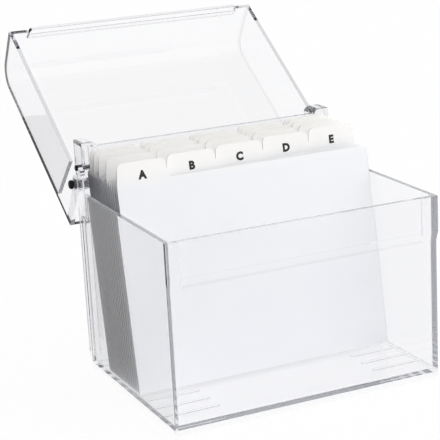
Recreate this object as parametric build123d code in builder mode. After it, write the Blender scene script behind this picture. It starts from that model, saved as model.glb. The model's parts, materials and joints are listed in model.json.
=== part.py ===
"""Clear card index box for A6 cards: moulded box, hinged lid and lettered dividers.

Millimetres. Origin on the table under the middle of the box, +Z up, front face towards -Y.
The lid is drawn closed and then swung open to its stop, which is the rest pose.
"""

import math
import os

from build123d import *

# ---- cards that the box is made for -------------------------------------------------
card_w = 148.0            # A6, landscape
body_h = 111.0            # divider without its tab
tab_h = 10.5
tab_foot_w = 29.2         # tab width where it meets the divider
tab_top_w = 26.4
tab_corner_r = 3.0
shoulder_r = 3.0
divider_t = 0.5
tab_columns = 5
letters = [
    "a", "b", "c", "d", "e", "f", "g", "h", "i", "j", "k", "l", "m",
    "n", "o", "p", "q", "r", "s", "t", "u", "v", "w", "xy", "z",
]

# ---- box body -----------------------------------------------------------------------
wall = 2.5
side_gap = 0.5            # divider edge to side wall
box_d = 116.0
rim_z = 101.0
floor_z = 5.0             # top of the floor
floor_t = 2.4
box_w = card_w + 2 * (side_gap + wall)

band_h = 19.0             # front wall: upper band that stands forward
band_step = 2.0
band_slope_h = 5.7
pad_w = 6.0               # full-depth pads at both ends of the band
pad_drop = 0.7
corner_r = 0.8            # inside corners of the mould, below the divider's foot
edge_r = 0.4              # outside corners

rib_h = 0.8               # low ribs on the floor, left and right
rib_w = 1.2
rib_len = 29.0
rib_pitch = 12.2
rib_count = 8
rib_first = 16.5          # first rib, behind the front wall's outer face

rear_wall_z = 126.5
post_z = 129.0            # hinge posts at both rear corners
post_w = 9.5
post_inset = 1.5          # post's outer face, inside the box's side
post_front = 4.0          # post starts this far ahead of the rear wall's outer face
post_back = 8.5           # and ends this far behind it
post_wall = 2.2
post_foot_z = 4.3
post_r = 4.0

relief_front = 10.5       # side wall thinned beside the hinge, ahead of the rear face
relief_z = 88.0

# ---- lid ----------------------------------------------------------------------------
lid_rise = 35.0           # lid's top above the rim when it is shut
lid_t = 2.3
lid_seat = 0.3            # shut lid above the rim
swing_gap = 0.3           # lid arm beside the post
lid_front_r = 12.0
lid_rear = 6.0            # panel past the rear wall's outer face
lip_h = 4.2               # flange's middle goes on as a tongue inside the front band
lip_slope_h = 5.0         # and steps back to it over this height
lip_gap = 0.2
lip_end_gap = 1.5         # tongue's end beside the pad
lip_r = 2.5
flange_end_low = 9.8      # side flange's rear end, ahead of the rear face, at the rim
flange_end_high = 16.9    # and at the panel
lid_open_deg = 146.0

# ---- hinge --------------------------------------------------------------------------
pivot_back = 3.0          # pivot behind the rear wall's outer face
pivot_rise = 4.7          # and above the rim
pin_r = 2.9
pin_fit = 0.02            # pin in the post
pin_running = 0.08        # pin in the lid's arm
pin_neck_r = 2.1
pin_neck = 1.6
pin_head_r = 2.5
pin_head = 1.8
pin_head_round = 1.2
hub_r = 5.0
stop_r = 1.6
stop_back = 4.5           # stop pin ahead of the pivot
stop_rise = 9.8           # and above it
stop_proud = 1.0
stop_round = 0.5
stop_gap = 0.5            # shut lid's arm behind the stop pin
stop_play_deg = 0.5
finger_reach = 12.5
finger_deg = 22.0

# ---- divider fan --------------------------------------------------------------------
fan_front = 49.0          # front divider's foot behind the box's front face
fan_pitch = 0.9           # least spacing, at the rear
fan_ease = 3.0            # how fast the rest of the spacing closes up towards the rear
fan_rear_gap = 0.6        # last divider's top to the hinge posts
lean_deg = 9.0
foot_gap = 0.15           # divider foot above the ribs

# ---- derived places -----------------------------------------------------------------
half_w = box_w / 2
half_d = box_d / 2
front_y = -half_d
rear_y = half_d
band_y = front_y - band_step
band_z = rim_z - band_h
inner_w = box_w - 2 * wall
post_out_x = half_w - post_inset
post_mid_x = post_out_x - post_w / 2
post_front_y = rear_y - post_front
post_back_y = rear_y + post_back

arm_in_x = post_out_x + swing_gap
arm_out_x = arm_in_x + lid_t
lid_low_z = rim_z + lid_seat
lid_top_z = rim_z + lid_rise
lip_w = inner_w - 2 * (pad_w + lip_end_gap)
lip_y = band_y + wall + lip_gap
lid_rear_y = rear_y + lid_rear
pivot_y = rear_y + pivot_back
pivot_z = rim_z + pivot_rise
stop_y = pivot_y - stop_back
stop_z = pivot_z + stop_rise
hinge_axis = Axis((0, pivot_y, pivot_z), (1, 0, 0))

stop_angle = math.degrees(math.atan2(stop_rise, -stop_back))
stop_half = math.degrees(math.asin(stop_r / math.hypot(stop_back, stop_rise)))
finger_start = stop_angle + stop_half + stop_play_deg + lid_open_deg


def export(part, name):
    part.label = name
    export_step(part, f"parts/{name}.step")


os.makedirs("parts", exist_ok=True)

# ---- box body -----------------------------------------------------------------------
with BuildPart() as box_body:
    with BuildSketch():
        Rectangle(box_w, box_d)
    extrude(amount=rim_z)

    # front wall steps forward below its upper band, outside ...
    with BuildSketch(Plane.YZ.offset(-half_w)):
        with BuildLine():
            Polyline(
                (front_y, band_z - band_slope_h),
                (band_y, band_z),
                (band_y, rim_z),
                (front_y, rim_z),
                close=True,
            )
        make_face()
    extrude(amount=box_w)
    front_corners = box_body.edges().filter_by(lambda e: abs(abs(e.center().X) - half_w) < 0.01)
    fillet(front_corners.filter_by(Axis.Y, reverse=True).sort_by(Axis.Y)[:6], radius=edge_r)

    # the room for the cards
    with BuildSketch(Plane.XY.offset(floor_z)):
        Rectangle(inner_w, box_d - 2 * wall)
    extrude(amount=rim_z, mode=Mode.SUBTRACT)
    pocket = box_body.faces().filter_by(lambda f: abs(f.center().Z - floor_z) < 0.01)[0]
    pocket_walls = box_body.edges(Select.LAST).filter_by(Axis.Z)
    fillet(pocket.edges() + pocket_walls, radius=corner_r)

    # ... and inside, between the end pads
    recess_w = inner_w - 2 * pad_w
    with BuildSketch(Plane.YZ.offset(-recess_w / 2)):
        with BuildLine():
            Polyline(
                (front_y + wall, band_z - band_slope_h),
                (band_y + wall, band_z),
                (band_y + wall, rim_z),
                (front_y + wall, rim_z),
                close=True,
            )
        make_face()
    extrude(amount=recess_w, mode=Mode.SUBTRACT)
    with BuildSketch(Plane.XY.offset(rim_z - pad_drop)):
        with Locations((0, band_y + wall)):
            Rectangle(inner_w, band_step, align=(Align.CENTER, Align.MIN))
    extrude(amount=pad_drop, mode=Mode.SUBTRACT)

    # hollow foot under the floor
    with BuildSketch():
        Rectangle(inner_w, box_d - 2 * wall)
    extrude(amount=floor_z - floor_t, mode=Mode.SUBTRACT)

    # taller rear wall
    with BuildSketch(Plane.XY.offset(rim_z)):
        with Locations((0, rear_y)):
            Rectangle(inner_w, wall, align=(Align.CENTER, Align.MAX))
    extrude(amount=rear_wall_z - rim_z)

    # side walls thinned where the lid's arms swing
    with BuildSketch(Plane.XY.offset(relief_z)):
        with Locations((-half_w, rear_y), (post_out_x, rear_y)):
            Rectangle(post_inset, relief_front, align=(Align.MIN, Align.MAX))
    extrude(amount=rim_z - relief_z, mode=Mode.SUBTRACT)

    # hinge posts, hollow from the rear
    with BuildSketch(Plane.XZ.offset(-post_front_y)):
        with Locations((-post_mid_x, post_foot_z), (post_mid_x, post_foot_z)):
            Rectangle(post_w, post_z - post_foot_z, align=(Align.CENTER, Align.MIN))
        top_corners = vertices().group_by(Axis.Y)[-1]
        fillet(top_corners.sort_by(lambda corner: abs(corner.X))[:2], radius=post_r)
    extrude(amount=-(post_back_y - post_front_y))
    with BuildSketch(Plane.XZ.offset(-rear_y)):
        with Locations((-post_mid_x, post_foot_z), (post_mid_x, post_foot_z)):
            Rectangle(
                post_w - 2 * post_wall,
                post_z - post_wall - post_foot_z,
                align=(Align.CENTER, Align.MIN),
            )
    extrude(amount=-post_back, mode=Mode.SUBTRACT)

    # floor ribs
    with BuildSketch(Plane.XY.offset(floor_z)):
        for row in range(rib_count):
            rib_y = front_y + rib_first + row * rib_pitch
            with Locations((-inner_w / 2, rib_y)):
                Rectangle(rib_len, rib_w, align=(Align.MIN, Align.CENTER))
            with Locations((inner_w / 2, rib_y)):
                Rectangle(rib_len, rib_w, align=(Align.MAX, Align.CENTER))
    extrude(amount=rib_h)

    # bores for the hinge pins and the stop pins
    with BuildSketch(Plane.YZ.offset(-half_w)):
        with Locations((pivot_y, pivot_z)):
            Circle(pin_r + pin_fit)
        with Locations((stop_y, stop_z)):
            Circle(stop_r + pin_fit)
    extrude(amount=box_w, mode=Mode.SUBTRACT)
export(box_body.part, "box_body")

# ---- lid, drawn shut and then swung open --------------------------------------------
def polar_yz(radius, degrees):
    angle = math.radians(degrees)
    return (pivot_y + radius * math.cos(angle), pivot_z + radius * math.sin(angle))


lid_corner = (band_y, lid_top_z)
arm_front_y = stop_y + stop_r + stop_gap
with BuildPart() as lid_shut:
    # top panel and front flange as one bent sheet
    with BuildSketch(Plane.YZ.offset(-arm_out_x)):
        with BuildLine():
            FilletPolyline(
                (band_y, lid_low_z),
                lid_corner,
                (lid_rear_y, lid_top_z),
                radius=lid_front_r,
            )
            offset(amount=lid_t, side=Side.RIGHT)
        make_face()
    extrude(amount=2 * arm_out_x)

    for side_x in (-arm_out_x, arm_in_x):
        # side flange, ending ahead of the post
        with BuildSketch(Plane.YZ.offset(side_x)):
            with BuildLine():
                Polyline(
                    (band_y, lid_low_z),
                    lid_corner,
                    (rear_y - flange_end_high, lid_top_z),
                    (rear_y - flange_end_low, lid_low_z),
                    close=True,
                )
            make_face()
            fillet(vertices().sort_by_distance(lid_corner)[0], radius=lid_front_r)
        extrude(amount=lid_t)

        # arm down to the hinge pin, and the finger that meets the stop pin
        with BuildSketch(Plane.YZ.offset(side_x)):
            with Locations((pivot_y, pivot_z)):
                Circle(hub_r)
            with BuildLine():
                Polyline(
                    (arm_front_y, pivot_z),
                    (pivot_y + hub_r, pivot_z),
                    (pivot_y + hub_r, stop_z),
                    (lid_rear_y, lid_top_z),
                    (arm_front_y, lid_top_z),
                    close=True,
                )
            make_face()
            with BuildLine():
                Polyline(
                    (pivot_y, pivot_z),
                    polar_yz(finger_reach, finger_start),
                    polar_yz(finger_reach, finger_start + finger_deg),
                    close=True,
                )
            make_face()
            with Locations((pivot_y, pivot_z)):
                Circle(pin_r + pin_running, mode=Mode.SUBTRACT)
        extrude(amount=lid_t)

    # the flange's middle steps back and goes on as the tongue inside the front band
    with BuildSketch(Plane.XY.offset(lid_low_z)):
        with Locations((0, band_y)):
            Rectangle(lip_w, lid_t, align=(Align.CENTER, Align.MIN))
    extrude(amount=lip_slope_h, mode=Mode.SUBTRACT)
    with BuildSketch(Plane.YZ.offset(-lip_w / 2)):
        with BuildLine():
            Polyline(
                (band_y, lid_low_z + lip_slope_h),
                (lip_y, lid_low_z),
                (lip_y, lid_low_z - lip_h),
                (lip_y + lid_t, lid_low_z - lip_h),
                (lip_y + lid_t, lid_low_z),
                (band_y + lid_t, lid_low_z + lip_slope_h),
                close=True,
            )
        make_face()
    extrude(amount=lip_w)
    fillet(lid_shut.edges().filter_by(Axis.Y).group_by(Axis.Z)[0], radius=lip_r)

with BuildPart() as lid:
    add(lid_shut.part.rotate(hinge_axis, -lid_open_deg))
export(lid.part, "lid")

# ---- hinge pins and stop pins, drawn for the right side and mirrored ------------------
with BuildPart() as hinge_pin_right:
    with BuildSketch(Plane.YZ.offset(post_out_x - post_w)):
        with Locations((pivot_y, pivot_z)):
            Circle(pin_r)
    extrude(amount=post_w + swing_gap + lid_t + swing_gap)
    with BuildSketch(Plane(hinge_pin_right.faces().sort_by(Axis.X)[-1])):
        Circle(pin_neck_r)
    extrude(amount=pin_neck)
    with BuildSketch(Plane(hinge_pin_right.faces().sort_by(Axis.X)[-1])):
        Circle(pin_head_r)
    extrude(amount=pin_head)
    fillet(hinge_pin_right.faces().sort_by(Axis.X)[-1].edges(), radius=pin_head_round)
export(hinge_pin_right.part, "hinge_pin_right")

with BuildPart() as stop_pin_right:
    with BuildSketch(Plane.YZ.offset(post_out_x - post_w)):
        with Locations((stop_y, stop_z)):
            Circle(stop_r)
    extrude(amount=arm_out_x + stop_proud - (post_out_x - post_w))
    fillet(stop_pin_right.faces().sort_by(Axis.X)[-1].edges(), radius=stop_round)
export(stop_pin_right.part, "stop_pin_right")

with BuildPart() as hinge_pin_left:
    add(hinge_pin_right.part.mirror(Plane.YZ))
export(hinge_pin_left.part, "hinge_pin_left")

with BuildPart() as stop_pin_left:
    add(stop_pin_right.part.mirror(Plane.YZ))
export(stop_pin_left.part, "stop_pin_left")

# ---- dividers, fanned and leaning back -----------------------------------------------
lean = math.radians(lean_deg)
foot_z = floor_z + rib_h + foot_gap
last_foot_y = post_front_y - fan_rear_gap - divider_t - (body_h + tab_h) * math.sin(lean)
spread = last_foot_y - (front_y + fan_front) - fan_pitch * (len(letters) - 1)
for number, letter in enumerate(letters):
    eased = 1 - (1 - number / (len(letters) - 1)) ** fan_ease
    foot_y = front_y + fan_front + fan_pitch * number + spread * eased
    face = Plane(
        origin=(0, foot_y, foot_z),
        x_dir=(1, 0, 0),
        z_dir=(0, -math.cos(lean), math.sin(lean)),
    )
    tab_x = ((number % tab_columns + 0.5) / tab_columns - 0.5) * card_w
    with BuildPart() as divider:
        with BuildSketch(face):
            Rectangle(card_w, body_h, align=(Align.CENTER, Align.MIN))
            fillet(vertices().group_by(Axis.Y)[-1], radius=shoulder_r)
            with BuildLine():
                Polyline(
                    (tab_x - tab_foot_w / 2, body_h - shoulder_r),
                    (tab_x - tab_foot_w / 2, body_h),
                    (tab_x - tab_top_w / 2, body_h + tab_h),
                    (tab_x + tab_top_w / 2, body_h + tab_h),
                    (tab_x + tab_foot_w / 2, body_h),
                    (tab_x + tab_foot_w / 2, body_h - shoulder_r),
                    close=True,
                )
            make_face()
            fillet(vertices().group_by(Axis.Y)[-1], radius=tab_corner_r)
        extrude(amount=-divider_t)
    export(divider.part, f"divider_{letter}")
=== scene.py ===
"""A clear moulded card box with its lid open and lettered dividers inside, in metres, around the CAD frame."""

import json
import math

import bmesh
import bpy
from mathutils import Matrix, Vector


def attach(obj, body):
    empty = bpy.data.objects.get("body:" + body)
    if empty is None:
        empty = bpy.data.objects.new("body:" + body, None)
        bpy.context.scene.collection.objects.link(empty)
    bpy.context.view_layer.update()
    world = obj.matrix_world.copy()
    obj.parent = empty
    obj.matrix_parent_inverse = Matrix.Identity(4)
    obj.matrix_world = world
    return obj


MM = 0.001
CARD_W = 148 * MM                     # dividers for A6 cards
# the dividers' side edges past this are painted darker, as shade for the dark side of the stack
PAINTED_SHADE_EDGE_FROM = CARD_W / 2 - 0.1 * MM  # past this, only a divider's side edge is left
TAB_FOOT, TAB_TOP = 112 * MM, 120 * MM  # heights in the box between which a divider turns from sheet to tab
TAB_COLUMNS = 5
LEAN = math.radians(9)                # dividers lean back
LETTER_H = 4.3 * MM                   # capital height
LETTER_WIDTH = 0.98                   # against the font's own
LETTER_BASE = 112.2 * MM              # baseline above the divider's foot, along the board
INK_PROUD = 0.02 * MM                 # ink in front of the board
HINGE_HEAD_FROM = 79.2 * MM           # pins: the blackened head starts this far from the middle
STOP_HEAD_FROM = 77.8 * MM

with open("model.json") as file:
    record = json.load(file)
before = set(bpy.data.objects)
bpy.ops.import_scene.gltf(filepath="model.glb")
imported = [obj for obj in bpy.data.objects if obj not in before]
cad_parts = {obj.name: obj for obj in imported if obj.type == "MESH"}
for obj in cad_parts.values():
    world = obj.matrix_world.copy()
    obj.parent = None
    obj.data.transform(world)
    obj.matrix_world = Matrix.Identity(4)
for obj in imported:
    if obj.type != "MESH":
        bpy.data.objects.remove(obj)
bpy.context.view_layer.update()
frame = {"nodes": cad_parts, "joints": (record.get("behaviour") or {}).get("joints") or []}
nodes = frame["nodes"]


# ---- materials ------------------------------------------------------------------------
def srgb(code):
    """Turns an sRGB hex colour into the linear values that the shaders take."""
    parts = [int(code[i : i + 2], 16) / 255 for i in (1, 3, 5)]
    return tuple(c / 12.92 if c <= 0.04045 else ((c + 0.055) / 1.055) ** 2.4 for c in parts) + (1.0,)


def put(owner, kind, settings=None, links=None):
    """Adds a node to a material or world. settings has socket or node settings, links has sources by socket."""
    node = owner.node_tree.nodes.new(kind)
    for key, value in (settings or {}).items():
        if isinstance(key, int) or key in node.inputs:
            node.inputs[key].default_value = value
        else:
            setattr(node, key, value)
    for key, source in (links or {}).items():
        owner.node_tree.links.new(source, node.inputs[key])
    return node


def new_material(name):
    material = bpy.data.materials.new(name)
    material.use_nodes = True
    material.node_tree.nodes.clear()
    return material


# Clear polystyrene, injection moulded: almost colourless through a wall, grey along an edge, where the
# eye looks through many millimetres of it. The mould leaves faint slow waves in the faces.
def moulded_clear_polystyrene(name):
    material = new_material(name)
    place = put(material, "ShaderNodeTexCoord").outputs["Object"]
    waves = put(material, "ShaderNodeTexNoise", {"Scale": 1 / (22 * MM), "Detail": 1.0}, {"Vector": place})
    face = put(material, "ShaderNodeBump", {"Strength": 0.25, "Distance": 0.12 * MM}, {"Height": waves.outputs[0]})
    shell = put(
        material,
        "ShaderNodeBsdfPrincipled",
        {"Base Color": srgb("#fdfdfe"), "Roughness": 0.0, "IOR": 1.57, "Transmission Weight": 1.0},
        {"Normal": face.outputs[0]},
    )
    depth = put(material, "ShaderNodeVolumeAbsorption", {"Color": srgb("#b4b6bd"), "Density": 13.0})
    put(material, "ShaderNodeOutputMaterial", links={"Surface": shell.outputs[0], "Volume": depth.outputs[0]})
    return material


# White index board, calendered: smooth and faintly cool on the sheet, whiter and a little warmer on the tabs, where
# the whiteness is painted light against the shade between the rows of tabs, and greyer on the side edges, as painted
# shade for the stack's dark side, with short fibres in it. The fibres are drawn at 0.6 mm, coarser than life, to show.
def calendered_index_board():
    material = new_material("calendered_index_board")
    place = put(material, "ShaderNodeTexCoord").outputs["Object"]
    fibres = put(
        material,
        "ShaderNodeTexNoise",
        {"Scale": 1 / (0.6 * MM), "Detail": 3.0, "Roughness": 0.7},
        {"Vector": place},
    ).outputs[0]
    clouds = put(material, "ShaderNodeTexNoise", {"Scale": 1 / (30 * MM), "Detail": 2.0}, {"Vector": place})
    along = put(material, "ShaderNodeSeparateXYZ", links={"Vector": place}).outputs
    tab = put(
        material,
        "ShaderNodeMapRange",
        {"From Min": TAB_FOOT, "From Max": TAB_TOP},
        {"Value": along["Z"]},
    )
    outward = put(material, "ShaderNodeMath", {"operation": "ABSOLUTE"}, {0: along["X"]})
    # painted shade: the side edges of the dividers are coloured grey, standing in for the shade on the stack's dark
    # side
    painted_shade_on_edge = put(material, "ShaderNodeMath", {"operation": "GREATER_THAN", 1: PAINTED_SHADE_EDGE_FROM}, {0: outward.outputs[0]})
    sheet = put(
        material,
        "ShaderNodeMix",
        {"data_type": "RGBA", 6: srgb("#f3f4f7"), 7: srgb("#f8f9fb")},
        {"Factor": clouds.outputs[0]},
    )
    # painted light: the tabs are coloured whiter than the sheet, to make up for the shade between the rows of tabs;
    # they are a little warmer too
    sheet_with_painted_light_on_tabs = put(
        material,
        "ShaderNodeMix",
        {"data_type": "RGBA", 7: srgb("#fdfcfa")},
        {"Factor": tab.outputs[0], 6: sheet.outputs[2]},
    )
    colour_with_painted_light_and_shade = put(
        material,
        "ShaderNodeMix",
        {"data_type": "RGBA", 7: srgb("#cdcdd6")},
        {"Factor": painted_shade_on_edge.outputs[0], 6: sheet_with_painted_light_on_tabs.outputs[2]},
    )
    grain = put(material, "ShaderNodeBump", {"Strength": 0.2, "Distance": 0.02 * MM}, {"Height": fibres})
    rough = put(material, "ShaderNodeMapRange", {"To Min": 0.5, "To Max": 0.68}, {"Value": fibres})
    board = put(
        material,
        "ShaderNodeBsdfPrincipled",
        {"IOR": 1.5},
        {"Base Color": colour_with_painted_light_and_shade.outputs[2], "Roughness": rough.outputs[0], "Normal": grain.outputs[0]},
    )
    put(material, "ShaderNodeOutputMaterial", links={"Surface": board.outputs[0]})
    return material


# Turned steel pins, bright on the shank and blackened on the head outside the plastic: fine marks from the
# tool, drawn 0.25 mm apart so that they show.
def turned_steel(name, shank, head, head_from):
    material = new_material(name)
    place = put(material, "ShaderNodeTexCoord").outputs["Object"]
    marks = put(material, "ShaderNodeTexNoise", {"Scale": 1 / (0.25 * MM), "Detail": 1.0}, {"Vector": place})
    along = put(material, "ShaderNodeSeparateXYZ", links={"Vector": place}).outputs["X"]
    outward = put(material, "ShaderNodeMath", {"operation": "ABSOLUTE"}, {0: along})
    on_head = put(material, "ShaderNodeMath", {"operation": "GREATER_THAN", 1: head_from}, {0: outward.outputs[0]})
    colour = put(
        material,
        "ShaderNodeMix",
        {"data_type": "RGBA", 6: srgb(shank), 7: srgb(head)},
        {"Factor": on_head.outputs[0]},
    )
    rough = put(material, "ShaderNodeMapRange", {"To Min": 0.26, "To Max": 0.42}, {"Value": marks.outputs[0]})
    turned = put(material, "ShaderNodeBump", {"Strength": 0.15, "Distance": 0.02 * MM}, {"Height": marks.outputs[0]})
    steel = put(
        material,
        "ShaderNodeBsdfPrincipled",
        {"Metallic": 1.0},
        {"Base Color": colour.outputs[2], "Roughness": rough.outputs[0], "Normal": turned.outputs[0]},
    )
    put(material, "ShaderNodeOutputMaterial", links={"Surface": steel.outputs[0]})
    return material


# Black printing ink on the tabs: dense and flat, with the board's grain breaking it up.
def printed_black_ink():
    material = new_material("printed_black_ink")
    place = put(material, "ShaderNodeTexCoord").outputs["Object"]
    grain = put(material, "ShaderNodeTexNoise", {"Scale": 1 / (0.4 * MM), "Detail": 2.0}, {"Vector": place})
    cover = put(
        material,
        "ShaderNodeMix",
        {"data_type": "RGBA", 6: srgb("#0d0d0f"), 7: srgb("#1c1c1f")},
        {"Factor": grain.outputs[0]},
    )
    ink = put(
        material,
        "ShaderNodeBsdfPrincipled",
        {"Roughness": 0.45, "IOR": 1.5},
        {"Base Color": cover.outputs[2]},
    )
    put(material, "ShaderNodeOutputMaterial", links={"Surface": ink.outputs[0]})
    return material


box_plastic = moulded_clear_polystyrene("clear_polystyrene_box")
lid_plastic = moulded_clear_polystyrene("clear_polystyrene_lid")
board = calendered_index_board()
hinge_steel = turned_steel("turned_hinge_steel", "#8e8e93", "#2c2c30", HINGE_HEAD_FROM)
stop_steel = turned_steel("turned_stop_steel", "#6a6a70", "#232327", STOP_HEAD_FROM)
ink = printed_black_ink()


def dress(piece, material):
    piece.data.materials.clear()
    piece.data.materials.append(material)


dress(nodes["box_body"], box_plastic)
dress(nodes["lid"], lid_plastic)
for side in ("left", "right"):
    dress(nodes[f"hinge_pin_{side}"], hinge_steel)
    dress(nodes[f"stop_pin_{side}"], stop_steel)
for name in nodes:
    if name.startswith("divider_"):
        dress(nodes[name], board)

# ---- letters printed on the tabs ------------------------------------------------------
feet = {
    joint["name"].removeprefix("tilt_"): joint["pos_m"]
    for joint in frame["joints"]
    if joint["name"].startswith("tilt_")
}


def print_letter(text, tab, foot, body):
    """Sets a bold capital flat on the tab, just proud of the board."""
    curve = bpy.data.curves.new(f"letter_{text}", "FONT")
    curve.body = text
    curve.align_x = "CENTER"
    curve.size = LETTER_H / 0.73      # the font's capitals are 0.73 of its size
    curve.offset = 0.085 * LETTER_H   # makes the strokes bold
    curve.resolution_u = 3
    drawn = bpy.data.objects.new(f"drawn_{text}", curve)
    bpy.context.collection.objects.link(drawn)
    bpy.context.view_layer.update()
    outline = bpy.data.meshes.new_from_object(drawn)
    bpy.data.objects.remove(drawn)
    across = ((tab + 0.5) / TAB_COLUMNS - 0.5) * CARD_W
    up = Vector((0, math.sin(LEAN), math.cos(LEAN)))
    out = Vector((0, -math.cos(LEAN), math.sin(LEAN)))
    start = Vector(foot) + up * LETTER_BASE + out * INK_PROUD
    place = Matrix((
        (1, 0, 0, across),
        (0, up.y, out.y, start.y),
        (0, up.z, out.z, start.z),
        (0, 0, 0, 1),
    ))
    outline.transform(place @ Matrix.Diagonal((LETTER_WIDTH, 1, 1, 1)))
    piece = bpy.data.objects.new(f"letter_{text}", outline)
    bpy.context.collection.objects.link(piece)
    dress(piece, ink)
    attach(piece, body)


for count, name in enumerate(sorted(feet, key=lambda key: feet[key][1])):
    print_letter(name.upper(), count % TAB_COLUMNS, feet[name], f"divider_{name}")


# ---- floor, light and camera ----------------------------------------------------------
def maths(owner, operation, first, second):
    """One step of arithmetic on a source and on a second source or a number."""
    if isinstance(second, float):
        return put(owner, "ShaderNodeMath", {"operation": operation, 1: second}, {0: first}).outputs[0]
    return put(owner, "ShaderNodeMath", {"operation": operation}, {0: first, 1: second}).outputs[0]


def seen_directly(owner):
    """1 where the eye looks, also through the plastic or in a reflection, and 0 for the light on the cards."""
    rays = put(owner, "ShaderNodeLightPath").outputs
    plain = maths(owner, "MAXIMUM", rays["Is Camera Ray"], rays["Is Glossy Ray"])
    clear = maths(owner, "MAXIMUM", plain, rays["Is Transmission Ray"])
    return maths(owner, "MULTIPLY", clear, maths(owner, "LESS_THAN", rays["Diffuse Depth"], 0.5))


def stand(name, form, material):
    """Puts a finished bmesh on the set, as something that isn't part of the object."""
    mesh = bpy.data.meshes.new(name)
    form.to_mesh(mesh)
    form.free()
    thing = bpy.data.objects.new(name, mesh)
    bpy.context.collection.objects.link(thing)
    dress(thing, material)


# White sweep, painted board: it keeps the object's soft shadow, and reads as white to the eye and in the plastic.
sweep_paint = new_material("white_sweep_paint")
share = put(sweep_paint, "ShaderNodeMapRange", {"To Min": 0.65, "To Max": 0.96}, {"Value": seen_directly(sweep_paint)})
paint = put(sweep_paint, "ShaderNodeBsdfDiffuse", {"Color": srgb("#f0f0f1")})
white = put(sweep_paint, "ShaderNodeEmission", {"Color": srgb("#ffffff"), "Strength": 1.0})
both = put(sweep_paint, "ShaderNodeMixShader", links={0: share.outputs[0], 1: paint.outputs[0], 2: white.outputs[0]})
put(sweep_paint, "ShaderNodeOutputMaterial", links={"Surface": both.outputs[0]})

sweep = bmesh.new()
bmesh.ops.create_circle(sweep, cap_ends=True, segments=96, radius=8.0)
stand("sweep", sweep, sweep_paint)

# Black flag beside the box, as a photographer stands one there to keep the cards' edges dark. It takes light
# from the cards and shows in reflections alone, not through the plastic.
flag_velvet = new_material("black_flag_velvet")
rays = put(flag_velvet, "ShaderNodeLightPath").outputs
onward = maths(flag_velvet, "GREATER_THAN", rays["Diffuse Depth"], 0.5)
# light that starts under the flag itself goes through it, so that it leaves no outline on the floor
apart = maths(flag_velvet, "GREATER_THAN", rays["Ray Length"], 10 * MM)
later = maths(flag_velvet, "MULTIPLY", onward, apart)
bounced = maths(flag_velvet, "SUBTRACT", rays["Is Glossy Ray"], rays["Is Transmission Ray"])
mirrored = maths(flag_velvet, "MULTIPLY", bounced, 0.6)
taken = maths(flag_velvet, "MAXIMUM", later, mirrored)
clear = put(flag_velvet, "ShaderNodeBsdfTransparent")
velvet = put(flag_velvet, "ShaderNodeBsdfDiffuse", {"Color": srgb("#101012")})
mixed = put(flag_velvet, "ShaderNodeMixShader", links={0: taken, 1: clear.outputs[0], 2: velvet.outputs[0]})
put(flag_velvet, "ShaderNodeOutputMaterial", links={"Surface": mixed.outputs[0]})
# 0.34 by 1 m of it lies beside the box, and its far edge is turned up by 0.5 m
flag = bmesh.new()
bmesh.ops.create_grid(flag, x_segments=1, y_segments=1, size=0.5)
bmesh.ops.scale(flag, vec=(0.34, 1.0, 1), verts=flag.verts)
far_edge = [edge for edge in flag.edges if all(corner.co.x < 0 for corner in edge.verts)]
turned_up = bmesh.ops.extrude_edge_only(flag, edges=far_edge)["geom"]
top_corners = [part for part in turned_up if isinstance(part, bmesh.types.BMVert)]
bmesh.ops.translate(flag, vec=(0, 0, 0.5), verts=top_corners)
bmesh.ops.translate(flag, vec=(-0.252, 0.25, 0.0005), verts=flag.verts)
stand("flag", flag, flag_velvet)

world = bpy.data.worlds.new("studio")
bpy.context.scene.world = world
world.use_nodes = True
world.node_tree.nodes.clear()
# soft light from overhead in front and on the right, less from behind, and a dark side on the left
facing = put(world, "ShaderNodeTexCoord").outputs["Generated"]


def panel_of_light(direction, start, full, strength):
    """A broad soft patch of the studio's light around one direction."""
    towards = put(world, "ShaderNodeVectorMath", {"operation": "DOT_PRODUCT", 1: direction}, {0: facing})
    return put(
        world,
        "ShaderNodeMapRange",
        {"interpolation_type": "SMOOTHSTEP", "From Min": start, "From Max": full, "To Max": strength},
        {"Value": towards.outputs["Value"]},
    ).outputs[0]


front = panel_of_light((0.6, -0.5, 0.63), 0.3, 0.88, 1.8)
behind = panel_of_light((0.4, 0.85, 0.34), 0.45, 0.9, 1.0)
falloff = maths(world, "ADD", front, behind)
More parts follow.
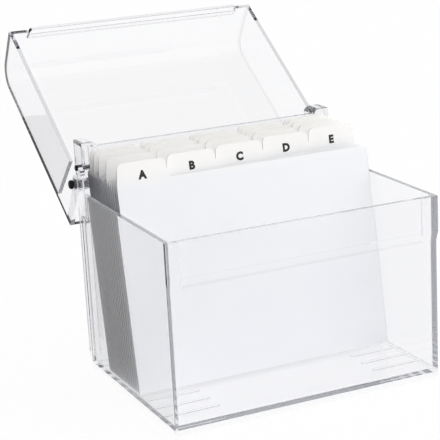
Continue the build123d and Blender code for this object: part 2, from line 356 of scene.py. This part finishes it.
# the sweep's white goes on behind the horizon, and overhead the plastic and the pins show a dim ceiling
upward = put(world, "ShaderNodeSeparateXYZ", links={0: facing}).outputs["Z"]
low = put(
    world,
    "ShaderNodeMapRange",
    {"interpolation_type": "SMOOTHSTEP", "From Min": 0.3, "From Max": 0.55, "To Min": 1.0, "To Max": 0.0},
    {"Value": upward},
).outputs[0]
seen = seen_directly(world)
eye = put(world, "ShaderNodeLightPath").outputs["Is Camera Ray"]
white_out = maths(world, "MAXIMUM", eye, maths(world, "MULTIPLY", seen, low))
studio = put(world, "ShaderNodeMix", {"data_type": "FLOAT", 3: 0.65}, {0: seen, 2: falloff})
level = put(world, "ShaderNodeMix", {"data_type": "FLOAT", 3: 1.0}, {0: white_out, 2: studio.outputs[0]})
sky = put(world, "ShaderNodeBackground", {"Color": srgb("#ffffff")}, {"Strength": level.outputs[0]})
put(world, "ShaderNodeOutputWorld", links={"Surface": sky.outputs[0]})


# softbox in front, weak, for a highlight along the edges
softbox = bpy.data.lights.new("key", "AREA")
softbox.shape = "RECTANGLE"
softbox.size, softbox.size_y = 1.2, 0.9
softbox.energy = 1
key = bpy.data.objects.new("key", softbox)
key.location = (0.3, -1.2, 1.3)
key.rotation_mode = "QUATERNION"
key.rotation_quaternion = (Vector((0, 0, 0.06)) - key.location).to_track_quat("-Z", "Y")
bpy.context.collection.objects.link(key)

# the photograph's camera, solved from the box's corners: its focal length and shifts are in pixels of the frame
FRAME_PX = 440
camera_data = bpy.data.cameras.new("camera")
camera_data.sensor_width = 36.0     # mm
camera_data.lens = 1599.48 / FRAME_PX * camera_data.sensor_width
camera_data.shift_x = -30 / FRAME_PX
camera_data.shift_y = 15 / FRAME_PX
camera_data.clip_start = 0.05
camera_data.clip_end = 50.0
camera = bpy.data.objects.new("camera", camera_data)
right = Vector((0.89778, -0.43802, -0.04608))
above = Vector((0.16164, 0.23034, 0.95959))
ahead = Vector((0.4097, 0.86896, -0.2776))
camera.matrix_world = Matrix((
    (right.x, above.x, -ahead.x, -0.35370),
    (right.y, above.y, -ahead.y, -0.74281),
    (right.z, above.z, -ahead.z, 0.31615),
    (0, 0, 0, 1),
))
bpy.context.collection.objects.link(camera)
bpy.context.scene.camera = camera
bpy.context.scene.view_settings.view_transform = "Standard"
# light goes many times to and fro inside clear walls before it comes out at an edge
paths = bpy.context.scene.cycles
paths.max_bounces = 40
paths.glossy_bounces = 32
paths.transmission_bounces = 40
paths.diffuse_bounces = 6
paths.blur_glossy = 0.0            # else the cards get too little light through the plastic
